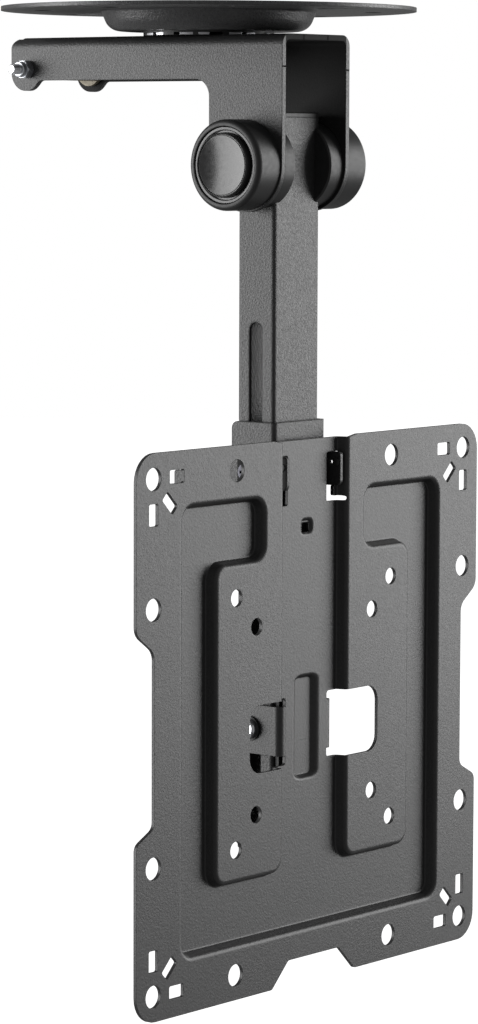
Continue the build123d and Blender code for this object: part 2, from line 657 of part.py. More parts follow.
arm_start, arm_end = CLAW_ARM
with BuildPart() as latch_hook:
    with BuildSketch(along_x(0, LATCH_Y, LATCH_Z)) as claw:
        add(wedge(claw_out_r, arm_start, CLAW_TIP))
        with BuildSketch(mode=Mode.PRIVATE) as mouth:
            add(wedge(CATCH_REACH + slot_half, CLAW_REST, CLAW_TIP + 5))
            add(wedge(CATCH_REACH - slot_half, CLAW_REST - 5, CLAW_TIP + 10), mode=Mode.SUBTRACT)
            with Locations((CATCH_REACH * cos(radians(CLAW_REST)), CATCH_REACH * sin(radians(CLAW_REST)))):
                Circle(slot_half)
        add(mouth.sketch, mode=Mode.SUBTRACT)
        Circle(LATCH_BOSS_R)
    extrude(amount=latch_cheek_out_x, both=True)
    with BuildSketch(along_x(0, LATCH_Y, LATCH_Z)):
        Circle(claw_out_r + 2)
    extrude(amount=latch_cheek_in_x, both=True, mode=Mode.SUBTRACT)
    with BuildSketch(along_x(0, LATCH_Y, LATCH_Z)):
        with PolarLocations(sum(LATCH_WEB_R) / 2, 1, start_angle=LATCH_WEB_ANGLE):
            Rectangle(LATCH_WEB_R[1] - LATCH_WEB_R[0], LATCH_WEB_WIDTH)
    extrude(amount=latch_cheek_in_x, both=True)
    with BuildSketch(along_x(0, LATCH_Y, LATCH_Z)):
        Circle(LATCH_BOLT_R + RUN_FIT)
    extrude(amount=latch_cheek_out_x, both=True, mode=Mode.SUBTRACT)
latch_hook.part.label = "latch_hook"
export_step(latch_hook.part, "parts/latch_hook.step")

# Screen plate: the sheet at its front level, with the recess pressed back as a tray with sloping walls
wall_ratio = RECESS_RUN / RECESS_DEPTH
back_grow = PLATE_T * (hypot(1, wall_ratio) - wall_ratio)
floor_back = RECESS_DEPTH + PLATE_T


def pressed(top, floor, top_depth, grow):
    """Tapered block between two rounded rectangles, PRESS_DEPTH apart."""
    with BuildPart() as block:
        for depth, (width, height, corner_r) in ((top_depth, top), (top_depth + PRESS_DEPTH, floor)):
            with BuildSketch(plate_plane(depth)):
                RectangleRounded(width + 2 * grow, height + 2 * grow, corner_r)
        loft()
    return block.part


def across_post(y, z, radius):
    """Round cutter along X at this place, through everything that wraps the post."""
    return rod((-2 * POST_HALF_X, y, z), (2 * POST_HALF_X, y, z), radius)


through = (-1.0, floor_back + PRESS_DEPTH + 1.0)
lock_bolt_z = PLATE_Z + LOCK_BOLT
tab_low, tab_high = TAB_Z
tab_x = TAB_BEND_X + TAB_BEND_R
tab_bend_y = PLATE_Y + RECESS_DEPTH + TAB_BEND_R
with BuildPart() as screen_plate:
    with BuildSketch(plate_plane(0)):
        add(plate_face())
    extrude(amount=PLATE_T)
    for depth, grow in ((PLATE_T, back_grow), (floor_back, back_grow - RECESS_RUN)):
        with BuildSketch(plate_plane(depth)):
            add(recess_face(grow))
    loft(ruled=True)
    for depth, grow in ((0, 0), (RECESS_DEPTH, -RECESS_RUN)):
        with BuildSketch(plate_plane(depth)):
            add(recess_face(grow))
    loft(ruled=True, mode=Mode.SUBTRACT)
    with BuildSketch(plate_plane(0)):
        add(plate_face())
    extrude(amount=floor_back, mode=Mode.INTERSECT)

    # The pocket and the dimple that seat on the pieces behind the channel
    for mid_z, top, floor in ((POCKET_Z, POCKET_TOP, POCKET_FLOOR), (DIMPLE_Z, DIMPLE_TOP, DIMPLE_FLOOR)):
        place = Location((0, 0, mid_z))
        add(place * pressed(top, floor, floor_back, PRESS_BACK_GROW / 2))
        add(place * pressed(top, floor, RECESS_DEPTH, 0), mode=Mode.SUBTRACT)

    # Screen holes, corner cut-outs and the small square hole
    with BuildSketch(plate_plane(through[0])):
        for width, height, hole_d in (
            (OUTER_SQUARE, OUTER_SQUARE, LARGE_HOLE_D),
            (OUTER_SQUARE, MIDDLE_SQUARE, LARGE_HOLE_D),
            (MIDDLE_SQUARE, OUTER_SQUARE, LARGE_HOLE_D),
            (MIDDLE_SQUARE, MIDDLE_SQUARE, SMALL_HOLE_D),
            (INNER_SQUARE, INNER_SQUARE, SMALL_HOLE_D),
        ):
            with GridLocations(width, height, 2, 2):
                Circle(hole_d / 2)
        for sign_x in (-1, 1):
            for sign_z in (-1, 1):
                for (x, z), size, turn in ((*RIM_CUT, 0), (*RIM_SLOT, 0), (*DIAGONAL_CUT, 45)):
                    with Locations((sign_x * x, sign_z * z)):
                        RectangleRounded(*size, CUT_CORNER_R, rotation=turn * sign_x * sign_z)
        with Locations((0, DIMPLE_Z)):
            Rectangle(*DIMPLE_HOLE)
    extrude(amount=through[1] - through[0], mode=Mode.SUBTRACT)

    # Windows, with the tabs that were bent back from their inner edges
    with BuildSketch(plate_plane(through[0])):
        for sign_x in (-1, 1):
            in_x, out_x = sign_x * WINDOW_X[0], sign_x * WINDOW_X[1]
            add(rounded_face([
                (in_x, WINDOW_Z[1], WINDOW_INNER_R),
                (out_x, WINDOW_Z[1], WINDOW_CORNER_R),
                (out_x, WINDOW_Z[0], WINDOW_CORNER_R),
                (in_x, WINDOW_Z[0], WINDOW_INNER_R),
            ]))
    extrude(amount=through[1] - through[0], mode=Mode.SUBTRACT)
    for sign_x in (-1, 1):
        with BuildSketch(Plane.XY.offset(PLATE_Z + tab_low)):
            with BuildLine():
                bend_mid = (sign_x * TAB_BEND_X, tab_bend_y)
                outer_bend = CenterArc(bend_mid, TAB_BEND_R, -90, sign_x * 90)
                inner_bend = CenterArc(bend_mid, TAB_BEND_R - PLATE_T, -90, sign_x * 90)
                Polyline(
                    outer_bend @ 0,
                    (sign_x * WINDOW_X[0], PLATE_Y + RECESS_DEPTH),
                    (sign_x * WINDOW_X[0], PLATE_Y + floor_back),
                    inner_bend @ 0,
                )
                Polyline(
                    outer_bend @ 1,
                    (sign_x * tab_x, PLATE_Y + TAB_END),
                    (sign_x * (tab_x - PLATE_T), PLATE_Y + TAB_END),
                    inner_bend @ 1,
                )
            make_face()
        extrude(amount=tab_high - tab_low)
    fillet(screen_plate.edges().filter_by(Axis.X).group_by(Axis.Y)[-1], TAB_CORNER_R)
    add(across_post(HINGE_Y, lock_bolt_z, GUIDE_BOLT_R + RUN_FIT), mode=Mode.SUBTRACT)

    # L-shaped upper openings for the collar's lugs
    in_x, out_x, foot_x = LUG_OPENING_X
    foot_z, step_z, top_z = LUG_OPENING_Z
    with BuildSketch(plate_plane(through[0])):
        for sign_x in (-1, 1):
            add(rounded_face([
                (sign_x * in_x, top_z, LUG_OPENING_R),
                (sign_x * out_x, top_z, LUG_OPENING_R),
                (sign_x * out_x, step_z, LUG_OPENING_R),
                (sign_x * foot_x, step_z, LUG_OPENING_R),
                (sign_x * foot_x, foot_z, LUG_OPENING_R),
                (sign_x * in_x, foot_z, LUG_OPENING_R),
            ]))
    extrude(amount=through[1] - through[0], mode=Mode.SUBTRACT)
screen_plate.part.label = "screen_plate"
export_step(screen_plate.part, "parts/screen_plate.step")

# Collar: a U folded round the post, with a lug on each side that comes forward through the plate
press_back_y = PLATE_Y + floor_back + PRESS_DEPTH
collar_inner_x = COLLAR_HALF_X - COLLAR_T
post_front_y = HINGE_Y - POST_HALF_Y
collar_low_z = PLATE_Z + COLLAR_BOTTOM
collar_high_z = PLATE_Z + COLLAR_TOP
upper_bolt_z = PLATE_Z + UPPER_BOLT


def u_face(half_x, side_wall, front_wall, front_y, rear_y):
    """Section of a U that is open to the rear, with rounded folds."""
    inner_r = 0.4
    inner_x = half_x - side_wall
    inner_y = front_y + front_wall
    outer_r = inner_r + min(side_wall, front_wall)
    return rounded_face([
        (-half_x, rear_y, 0),
        (-half_x, front_y, outer_r),
        (half_x, front_y, outer_r),
        (half_x, rear_y, 0),
        (inner_x, rear_y, 0),
        (inner_x, inner_y, inner_r),
        (-inner_x, inner_y, inner_r),
        (-inner_x, rear_y, 0),
    ])


with BuildPart() as collar:
    with BuildSketch(Plane.XY.offset(collar_low_z)):
        add(u_face(COLLAR_HALF_X, COLLAR_T, COLLAR_T, press_back_y, COLLAR_REAR_Y))
    extrude(amount=collar_high_z - collar_low_z)
    fillet(collar.edges().filter_by(Axis.X).group_by(Axis.Y)[-1], COLLAR_CORNER_R)
    lug_front_y, lug_rear_y = PLATE_Y + LUG_Y[0], PLATE_Y + LUG_Y[1]
    lug_low_z, lug_high_z = PLATE_Z + LUG_Z[0], PLATE_Z + LUG_Z[1]
    lug_top_r, lug_low_r = LUG_BENDS
    for outward in (-1, 1):
        with BuildSketch(Plane.YZ.offset(outward * COLLAR_HALF_X)):
            add(rounded_face([
                (lug_front_y, lug_high_z, lug_top_r),
                (lug_rear_y, lug_high_z, lug_top_r),
                (lug_rear_y, lug_low_z, lug_top_r),
                (lug_front_y, lug_low_z, lug_low_r),
            ]))
            for hole_y, hole_z, hole_r in LUG_HOLES:
                with Locations((PLATE_Y + hole_y, PLATE_Z + hole_z)):
                    Circle(hole_r, mode=Mode.SUBTRACT)
        extrude(amount=outward * LUG_T)
    add(across_post(HINGE_Y, upper_bolt_z, BOSS_R + RUN_FIT), mode=Mode.SUBTRACT)
collar.part.label = "collar"
export_step(collar.part, "parts/collar.step")

# Plastic liner inside the collar, a little shorter than the collar at each edge
liner_inset = 2.0
liner_front_y = press_back_y + COLLAR_T
liner_side_wall = collar_inner_x - POST_HALF_X - SLIDE_GAP
liner_front_wall = post_front_y - SLIDE_GAP - liner_front_y
with BuildPart() as collar_liner:
    with BuildSketch(Plane.XY.offset(collar_low_z + liner_inset)):
        rear_y = COLLAR_REAR_Y - liner_inset
        add(u_face(collar_inner_x, liner_side_wall, liner_front_wall, liner_front_y, rear_y))
    extrude(amount=collar_high_z - collar_low_z - 2 * liner_inset)
    add(across_post(HINGE_Y, upper_bolt_z, BOSS_R + RUN_FIT), mode=Mode.SUBTRACT)
collar_liner.part.label = "collar_liner"
export_step(collar_liner.part, "parts/collar_liner.step")

# Plastic pad between the plate's pocket and the post's front
_, pocket_height, pocket_corner_r = POCKET_FLOOR
with BuildPart() as front_glide:
    with BuildSketch(plate_plane(floor_back + PRESS_DEPTH)):
        with Locations((0, POCKET_Z)):
            RectangleRounded(2 * post_inner_x, pocket_height, pocket_corner_r)
    extrude(amount=post_front_y - SLIDE_GAP - press_back_y)
front_glide.part.label = "front_glide"
export_step(front_glide.part, "parts/front_glide.step")

# Bosses that run in the post's slots: two under the plate's tabs and two in the collar
slide_x = POST_HALF_X + SLIDE_GAP
tab_inner_x = tab_x - PLATE_T
lug_out_x = COLLAR_HALF_X + LUG_T
for side, outward in (("left", -1), ("right", 1)):
    with BuildPart() as side_glide:
        with BuildSketch(along_x(outward * slide_x, HINGE_Y, lock_bolt_z, outward)):
            Rectangle(*SIDE_GLIDE)
        extrude(amount=tab_inner_x - slide_x)
        with BuildSketch(along_x(outward * slide_x, HINGE_Y, lock_bolt_z, -outward)):
            Circle(BOSS_R)
        extrude(amount=POST_WALL)
        add(across_post(HINGE_Y, lock_bolt_z, GUIDE_BOLT_R + RUN_FIT), mode=Mode.SUBTRACT)
    side_glide.part.label = f"side_glide_{side}"
    export_step(side_glide.part, f"parts/side_glide_{side}.step")

    with BuildPart() as collar_boss:
        boss_from_x = post_inner_x + SLIDE_GAP
        boss_plane = along_x(outward * boss_from_x, HINGE_Y, upper_bolt_z, outward)
        add(ring(boss_plane, BOSS_R, GUIDE_BOLT_R + RUN_FIT, lug_out_x - boss_from_x))
    collar_boss.part.label = f"collar_boss_{side}"
    export_step(collar_boss.part, f"parts/collar_boss_{side}.step")

# Guide bolts with their washers and nuts: one through the plate's tabs, one through the collar
nut_flats, nut_height = GUIDE_NUT
cross_length, cross_width, cross_depth = CROSS_RECESS
for name, seat_x, bolt_z in (("lock", tab_x, lock_bolt_z), ("upper", lug_out_x, upper_bolt_z)):
    washer_x = seat_x + GUIDE_WASHER_T
    with BuildPart() as guide_bolt:
        add(rod((-washer_x, HINGE_Y, bolt_z), (washer_x + nut_height + 1.2, HINGE_Y, bolt_z), GUIDE_BOLT_R))
        with BuildSketch(along_x(-washer_x, HINGE_Y, bolt_z, -1)):
            Circle(GUIDE_HEAD_R)
        extrude(amount=GUIDE_HEAD_T)
        fillet(guide_bolt.faces().sort_by(Axis.X)[0].edges(), 1.1)
        with BuildSketch(along_x(-washer_x - GUIDE_HEAD_T, HINGE_Y, bolt_z, 1)):
            Rectangle(cross_length, cross_width)
            Rectangle(cross_width, cross_length)
        extrude(amount=cross_depth, mode=Mode.SUBTRACT)
    guide_bolt.part.label = f"{name}_bolt"
    export_step(guide_bolt.part, f"parts/{name}_bolt.step")

    with BuildPart() as guide_washers:
        for outward in (-1, 1):
            washer_plane = along_x(outward * seat_x, HINGE_Y, bolt_z, outward)
            add(ring(washer_plane, GUIDE_WASHER_R, GUIDE_BOLT_R + RUN_FIT, GUIDE_WASHER_T))
    guide_washers.part.label = f"{name}_washers"
    export_step(guide_washers.part, f"parts/{name}_washers.step")

    with BuildPart() as guide_nut:
        nut_plane = along_x(washer_x, HINGE_Y, bolt_z)
        add(hex_block(nut_plane, nut_flats, nut_height, GUIDE_BOLT_R + RUN_FIT, collar=1.6))
    guide_nut.part.label = f"{name}_nut"
    export_step(guide_nut.part, f"parts/{name}_nut.step")
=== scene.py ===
import math

import bmesh
import bpy
from mathutils import Matrix, Vector, geometry


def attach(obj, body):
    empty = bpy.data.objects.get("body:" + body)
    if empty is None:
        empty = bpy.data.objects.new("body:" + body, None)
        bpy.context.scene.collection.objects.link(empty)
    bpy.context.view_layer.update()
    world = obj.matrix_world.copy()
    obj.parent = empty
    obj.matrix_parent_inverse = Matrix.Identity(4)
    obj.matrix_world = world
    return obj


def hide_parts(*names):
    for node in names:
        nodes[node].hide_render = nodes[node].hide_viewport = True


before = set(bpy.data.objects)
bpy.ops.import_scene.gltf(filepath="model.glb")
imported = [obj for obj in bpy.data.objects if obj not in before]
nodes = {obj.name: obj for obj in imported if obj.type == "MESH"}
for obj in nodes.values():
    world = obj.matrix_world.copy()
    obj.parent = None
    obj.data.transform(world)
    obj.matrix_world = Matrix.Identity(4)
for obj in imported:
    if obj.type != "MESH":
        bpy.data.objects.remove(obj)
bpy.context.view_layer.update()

MM_PER_METRE = 1000

# The photograph's camera: where it stands, how it turns and how far it sees, for an image of 478 x 1024
CAMERA_PLACE = Vector((-1.18646, -0.98501, -0.05221))
CAMERA_YAW = math.radians(50.777)
CAMERA_PITCH = math.radians(5.659)
CAMERA_ROLL = math.radians(0.184)
FOCAL_PIXELS = 3780.7
IMAGE_HEIGHT = 1024
SENSOR = 36.0
FARTHEST_VIEW = 40.0

# Studio, in metres, with each light's name, place and brightness
FLOOR_Z = -2.4
FLOOR_RADIUS = 30.0
FLOOR_SIDES = 96
FLOOR_SHADE = 0.93
FLOOR_ROUGHNESS = 0.9
FILL_LIGHT = 0.22
SOFTBOX_TARGET = Vector((0, -0.03, -0.2))
SOFTBOX_SIZE = (1.5, 1.7)
SOFTBOXES = (("right_light", (1.89, -1.30, 0.10), 5.6), ("left_light", (-1.42, 1.72, -0.10), 6.35))
WHITE = (1.0, 1.0, 1.0, 1.0)


def add_camera():
    """Camera at the photograph's angle, turned right from +Y by the yaw and tipped down by the pitch."""
    ahead = Vector((math.sin(CAMERA_YAW), math.cos(CAMERA_YAW), 0))
    right = Vector((math.cos(CAMERA_YAW), -math.sin(CAMERA_YAW), 0))
    up = Vector((0, 0, 1))
    forward = ahead * math.cos(CAMERA_PITCH) - up * math.sin(CAMERA_PITCH)
    lifted = up * math.cos(CAMERA_PITCH) + ahead * math.sin(CAMERA_PITCH)
    rolled_right = right * math.cos(CAMERA_ROLL) + lifted * math.sin(CAMERA_ROLL)
    rolled_up = lifted * math.cos(CAMERA_ROLL) - right * math.sin(CAMERA_ROLL)
    data = bpy.data.cameras.new("camera")
    data.sensor_fit = "VERTICAL"
    data.sensor_height = SENSOR
    data.sensor_width = SENSOR
    data.lens = FOCAL_PIXELS * SENSOR / IMAGE_HEIGHT
    data.clip_end = FARTHEST_VIEW
    camera = bpy.data.objects.new("camera", data)
    turn = Matrix((rolled_right, rolled_up, -forward)).transposed().to_4x4()
    camera.matrix_world = Matrix.Translation(CAMERA_PLACE) @ turn
    bpy.context.scene.collection.objects.link(camera)
    bpy.context.scene.camera = camera


def add_softbox(name, place, brightness):
    """Soft rectangular studio light that looks at the object, out of the camera's sight."""
    data = bpy.data.lights.new(name, "AREA")
    data.shape = "RECTANGLE"
    data.size, data.size_y = SOFTBOX_SIZE
    data.energy = brightness * math.pi * SOFTBOX_SIZE[0] * SOFTBOX_SIZE[1]
    light = bpy.data.objects.new(name, data)
    light.visible_camera = False
    light.location = place
    light.rotation_euler = (SOFTBOX_TARGET - Vector(place)).to_track_quat("-Z", "Y").to_euler()
    bpy.context.scene.collection.objects.link(light)


def add_surroundings():
    """White surroundings that light the object less than they shine into the camera."""
    world = bpy.data.worlds.new("studio")
    bpy.context.scene.world = world
    world.use_nodes = True
    tree = world.node_tree
    background = tree.nodes["Background"]
    background.inputs["Color"].default_value = WHITE
    brightness = tree.nodes.new("ShaderNodeMapRange")
    brightness.inputs["To Min"].default_value = FILL_LIGHT
    brightness.inputs["To Max"].default_value = 1.0
    tree.links.new(tree.nodes.new("ShaderNodeLightPath").outputs["Is Camera Ray"], brightness.inputs["Value"])
    tree.links.new(brightness.outputs["Result"], background.inputs["Strength"])


def add_floor():
    """Plain pale floor far under the hanging object, which it neither lights nor darkens."""
    mesh = bpy.data.meshes.new("floor")
    sheet = bmesh.new()
    bmesh.ops.create_circle(sheet, cap_ends=True, segments=FLOOR_SIDES, radius=FLOOR_RADIUS)
    sheet.to_mesh(mesh)
    sheet.free()
    floor = bpy.data.objects.new("floor", mesh)
    floor.location = (0, 0, FLOOR_Z)
    floor.visible_diffuse = False
    floor.visible_glossy = False
    bpy.context.scene.collection.objects.link(floor)
    paint = bpy.data.materials.new("floor_paint")
    paint.use_nodes = True
    shader = paint.node_tree.nodes["Principled BSDF"]
    shader.inputs["Base Color"].default_value = (FLOOR_SHADE, FLOOR_SHADE, FLOOR_SHADE, 1.0)
    shader.inputs["Roughness"].default_value = FLOOR_ROUGHNESS
    shader.inputs["Emission Color"].default_value = WHITE
    shader.inputs["Emission Strength"].default_value = 1.0
    mesh.materials.append(paint)


def add_studio():
    """Floor, surroundings and soft lights."""
    add_surroundings()
    add_floor()
    for name, place, brightness in SOFTBOXES:
        add_softbox(name, place, brightness)
    bpy.context.scene.view_settings.view_transform = "Standard"


# Noises are (grains per metre, detail), bump heights and edge radii in metres
NOISE_ROUGHNESS = 0.55
BEVEL_SAMPLES = 4
COAT_NOISE = {"color": (950, 4), "gloss": (1250, 2), "pebbles": (1300, 2), "waves": (560, 2)}
COAT_DARK, COAT_LIGHT = (0.80, 0.80, 0.82), (1.22, 1.22, 1.24)
GLOSS_PER_GRAIN = 500
WAVE_SHARE = 0.5
WAVE_STRENGTH = 0.5
DULL_ROUGHNESS = 0.8
# Share of the coat's shade that is left where shade is painted
PAINTED_SHADE_FACTOR = 0.15
PLASTIC_NOISE = {"gloss": (600, 3), "color": (300, 3), "spark": (2600, 2)}
PLASTIC_LIGHT = (1.15, 1.15, 1.17)
PLASTIC_GLOSS = (-0.04, 0.05)
STEEL_NOISE = {"color": (320, 4), "gloss": (700, 3), "marks": (1800, 2)}
STEEL_GLOSS = (-0.07, 0.10)
STEEL_EDGE = 0.0002
FINE_RELIEF = 0.00002
SPARK_STRENGTH = 0.5
MARK_STRENGTH = 0.4


class Finish:
    """A node material with a principled shader and short helpers for the nodes that feed it."""

    def __init__(self, name, color, metallic, roughness):
        self.material = bpy.data.materials.new(name)
        self.material.use_nodes = True
        self.tree = self.material.node_tree
        self.shader = self.tree.nodes["Principled BSDF"]
        self.shader.inputs["Base Color"].default_value = (*color, 1.0)
        self.shader.inputs["Metallic"].default_value = metallic
        self.shader.inputs["Roughness"].default_value = roughness
        self.place = self.tree.nodes.new("ShaderNodeTexCoord").outputs["Object"]

    def link(self, source, target):
        self.tree.links.new(source, target)

    def set(self, socket, source):
        self.link(source, self.shader.inputs[socket])

    def noise(self, scale, detail):
        """Noise over the object's own coordinates, in metres."""
        texture = self.tree.nodes.new("ShaderNodeTexNoise")
        texture.inputs["Scale"].default_value = scale
        texture.inputs["Detail"].default_value = detail
        texture.inputs["Roughness"].default_value = NOISE_ROUGHNESS
        self.link(self.place, texture.inputs["Vector"])
        return texture.outputs["Fac"]

    def between(self, factor, low, high, from_low=0.3, from_high=0.7):
        """The factor's range turned into another range. The usual one is where most of a noise lies."""
        change = self.tree.nodes.new("ShaderNodeMapRange")
        change.inputs["From Min"].default_value = from_low
        change.inputs["From Max"].default_value = from_high
        for socket, value in (("To Min", low), ("To Max", high)):
            if isinstance(value, float):
                change.inputs[socket].default_value = value
            else:
                self.link(value, change.inputs[socket])
        self.link(factor, change.inputs["Value"])
        return change.outputs["Result"]

    def mix(self, factor, dark, light):
        """Colour between two others."""
        blend = self.tree.nodes.new("ShaderNodeMix")
        blend.data_type = "RGBA"
        self.link(factor, blend.inputs["Factor"])
        for socket, color in (("A", dark), ("B", light)):
            value = [entry for entry in blend.inputs if entry.name == socket and entry.type == "RGBA"][0]
            if isinstance(color, tuple):
                value.default_value = (*color, 1.0)
            else:
                self.link(color, value)
        return [entry for entry in blend.outputs if entry.type == "RGBA"][0]

    def beside(self, near, far):
        """1 where the distance from the middle plane x = 0 is between near and far, 0 elsewhere."""
        split = self.tree.nodes.new("ShaderNodeSeparateXYZ")
        size = self.tree.nodes.new("ShaderNodeMath")
        size.operation = "ABSOLUTE"
        within = self.tree.nodes.new("ShaderNodeMath")
        within.operation = "COMPARE"
        within.inputs[1].default_value = (near + far) / 2
        within.inputs[2].default_value = (far - near) / 2
        self.link(self.place, split.inputs["Vector"])
        self.link(split.outputs["X"], size.inputs[0])
        self.link(size.outputs["Value"], within.inputs[0])
        return within.outputs["Value"]

    def bump(self, height, distance, strength, under):
        """Bump of a given height in metres over the normals under it."""
        node = self.tree.nodes.new("ShaderNodeBump")
        node.inputs["Distance"].default_value = distance
        node.inputs["Strength"].default_value = strength
        self.link(height, node.inputs["Height"])
        self.link(under, node.inputs["Normal"])
        return node.outputs["Normal"]

    def rounded_edges(self, radius):
        """Normals that turn softly over every edge, as paint and pressing leave them."""
        node = self.tree.nodes.new("ShaderNodeBevel")
        node.samples = BEVEL_SAMPLES
        node.inputs["Radius"].default_value = radius
        return node.outputs["Normal"]


def tinted(shade, factors):
    """Colour of a grey shade times a factor for each channel."""
    return tuple(shade * factor for factor in factors)


def powder_coat(name, shade, roughness, grain, edge, painted_shade_and_dull=None):
    """Black powder coat with fine grain in relief, with painted shade and a duller gloss between two
    distances from x = 0.
    """
    finish = Finish(name, (shade, shade, shade), 0.0, roughness)
    patches = finish.between(finish.noise(*COAT_NOISE["color"]), 0.0, 1.0)
    color = finish.mix(patches, tinted(shade, COAT_DARK), tinted(shade, COAT_LIGHT))
    spread = grain * GLOSS_PER_GRAIN
    gloss = finish.between(finish.noise(*COAT_NOISE["gloss"]), roughness - spread, roughness + spread)
    # Painted shade: inside the band the colour drops to a small share of the shade and the gloss goes dull
    if painted_shade_and_dull:
        painted_shade_mask = finish.beside(*painted_shade_and_dull)
        color = finish.mix(painted_shade_mask, color, (shade * PAINTED_SHADE_FACTOR,) * 3)
        gloss = finish.between(painted_shade_mask, gloss, DULL_ROUGHNESS, 0.0, 1.0)
    finish.set("Base Color", color)
    finish.set("Roughness", gloss)
    soft = finish.rounded_edges(edge)
    pebbles = finish.bump(finish.noise(*COAT_NOISE["pebbles"]), grain, 1.0, soft)
    waves = finish.noise(*COAT_NOISE["waves"])
    finish.set("Normal", finish.bump(waves, grain * WAVE_SHARE, WAVE_STRENGTH, pebbles))
    return finish.material


def moulded_plastic(name, shade, roughness, edge, gloss=0.5):
    """Satin moulded plastic with a very fine spark texture."""
    finish = Finish(name, (shade, shade, shade), 0.0, roughness)
    finish.shader.inputs["Specular IOR Level"].default_value = gloss
    smoother, rougher = PLASTIC_GLOSS
    sheen = finish.noise(*PLASTIC_NOISE["gloss"])
    finish.set("Roughness", finish.between(sheen, roughness + smoother, roughness + rougher))
    patches = finish.between(finish.noise(*PLASTIC_NOISE["color"]), 0.0, 1.0)
    finish.set("Base Color", finish.mix(patches, (shade,) * 3, tinted(shade, PLASTIC_LIGHT)))
    soft = finish.rounded_edges(edge)
    spark = finish.noise(*PLASTIC_NOISE["spark"])
    finish.set("Normal", finish.bump(spark, FINE_RELIEF, SPARK_STRENGTH, soft))
    return finish.material


def plated_steel(name, dark, light, roughness, metallic=1.0):
    """Zinc-plated steel: bright metal with a faint bloom and fine marks."""
    finish = Finish(name, light, metallic, roughness)
    bloom = finish.between(finish.noise(*STEEL_NOISE["color"]), 0.0, 1.0)
    finish.set("Base Color", finish.mix(bloom, dark, light))
    smoother, rougher = STEEL_GLOSS
    sheen = finish.noise(*STEEL_NOISE["gloss"])
    finish.set("Roughness", finish.between(sheen, roughness + smoother, roughness + rougher))
    soft = finish.rounded_edges(STEEL_EDGE)
    marks = finish.noise(*STEEL_NOISE["marks"])
    finish.set("Normal", finish.bump(marks, FINE_RELIEF, MARK_STRENGTH, soft))
    return finish.material


# Distances from x = 0 where the arm's inside and the outer faces of the collar's lugs lie, which get painted
# shade and a duller gloss
ARM_PAINTED_SHADE = (0.0, 0.0194)
LUG_PAINTED_SHADE = (0.01802, 0.03)

# Powder coats as shade, roughness, grain, edge radius and the band with painted shade and a duller gloss
COATS = {
    "arm_coat": (0.024, 0.42, 0.00014, 0.0006, ARM_PAINTED_SHADE),
    "post_coat": (0.024, 0.42, 0.00015, 0.0011),
    "collar_coat": (0.024, 0.42, 0.00015, 0.0009, LUG_PAINTED_SHADE),
    "plate_coat": (0.024, 0.40, 0.00007, 0.0003),
    # The ceiling plate has the same black coat made lighter: painted light for the light and reflections on
    # its underside
    "disc_coat": (0.062, 0.34, 0.00022, 0.0006),
}
# Plastics as shade, roughness, edge radius and gloss
PLASTICS = {
    "black_plastic": (0.022, 0.42, 0.0004, 0.36),
    "dark_plastic": (0.012, 0.50, 0.0003),
    "button_plastic": (0.022, 0.20, 0.0001),
    "gap_black": (0.003, 0.90, 0.0001, 0.05),
}
# Plated steels as dark and light colour, roughness and metallic share
STEELS = {
    # Zinc darkened almost to black: painted shade for the upper bolt's head, which sits deep in a hole
    "zinc_painted_shade": ((0.04, 0.04, 0.045), (0.07, 0.07, 0.08), 0.34),
    "zinc": ((0.60, 0.61, 0.63), (0.82, 0.83, 0.85), 0.26),
    "bright_zinc": ((0.86, 0.87, 0.90), (0.95, 0.96, 0.98), 0.16),
    "facet_steel": ((0.50, 0.50, 0.52), (0.66, 0.66, 0.68), 0.42),
    "satin_zinc": ((0.62, 0.64, 0.68), (0.84, 0.86, 0.90), 0.44),
    # Yellow zinc darkened far below its own colour: painted shade for the latch hook under the arm's rear
    "yellow_zinc": ((0.12, 0.10, 0.065), (0.19, 0.165, 0.115), 0.46, 0.25),
}
MATERIALS = {
    name: make(name, *values)
    for make, finishes in ((powder_coat, COATS), (moulded_plastic, PLASTICS), (plated_steel, STEELS))
    for name, values in finishes.items()
}

NODES_OF_MATERIAL = {
    "arm_coat": ["arm_bracket"],
    "post_coat": ["post_tube", "catch_bracket"],
    "collar_coat": ["collar"],
    "plate_coat": ["screen_plate"],
    "disc_coat": ["ceiling_plate"],
    "black_plastic": [
        "hinge_cap_left", "hinge_cap_right", "cap_button_left", "cap_button_right",
        "hinge_cheek_left", "hinge_cheek_right", "post_top_plug", "post_end_cap",
    ],
    # The lock washers take the near-black plastic: painted shade for the dark ring round the lock bolt's head
    "dark_plastic": [
        "swivel_washer", "lower_washer", "collar_liner", "front_glide", "side_glide_left",
        "side_glide_right", "collar_boss_left", "collar_boss_right", "lock_washers",
    ],
    "zinc": [
        "swivel_bolt", "steel_washer", "swivel_nut", "hinge_bolt", "hinge_nut", "hinge_bush",
        "latch_spacer", "catch_pin", "lock_nut", "upper_washers", "upper_nut",
    ],
    "bright_zinc": ["lock_bolt", "latch_bolt"],
    "zinc_painted_shade": ["upper_bolt"],
    "satin_zinc": ["latch_nut"],
    "yellow_zinc": ["latch_hook"],
}


# Screen plate, in millimetres across and up from its own middle and back from its front face.
# Corners are (x, z, rounding), holes are (x, z, radius), and walls are (run, depth, top bend, foot bend).
# Outlines and openings are those of the right-hand half.
PLATE_X, PLATE_Y, PLATE_Z = 0.0, -56.4, -281.5
SHEET_T = 1.5
PLATE_OUTLINE = (
    (22.0, 109.1, 0.0), (27.0, 110.0, 0.0), (110.0, 110.0, 11.0), (110.0, 41.0, 6.0), (99.4, 33.5, 6.0),
    (99.4, -34.5, 4.0), (110.0, -40.0, 4.0), (110.0, -110.0, 11.0), (27.0, -110.0, 2.0), (16.5, -99.7, 2.0),
)
